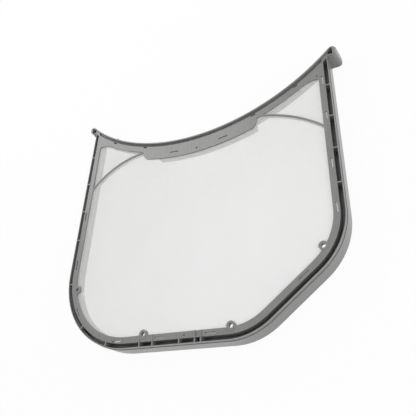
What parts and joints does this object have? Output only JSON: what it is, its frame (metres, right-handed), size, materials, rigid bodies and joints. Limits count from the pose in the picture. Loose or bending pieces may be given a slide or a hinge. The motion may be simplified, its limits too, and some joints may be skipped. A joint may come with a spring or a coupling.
{
  "type": "dryer lint filter",
  "caption": "Flat lint filter for a clothes dryer: shallow moulded frame with a curved top edge, end ears and one slanted corner, holding a stretched fine mesh.",
  "frame": {"origin": "middle of the part's width and height, at the level of the back edge it lies on", "axes": "+Z out of the front face, +Y towards the curved top edge, +X to the right as seen from the front"},
  "size_m": [0.4444, 0.4002, 0.0304],
  "materials": {
    "front_plastic": "satin moulded grey",
    "back_plastic": "satin moulded grey",
    "mesh_cloth": "fine woven screen"
  },
  "bodies": {
    "root": {"front_frame": "front_plastic", "back_frame": "back_plastic", "screen": "mesh_cloth"}
  },
  "joints": []
}
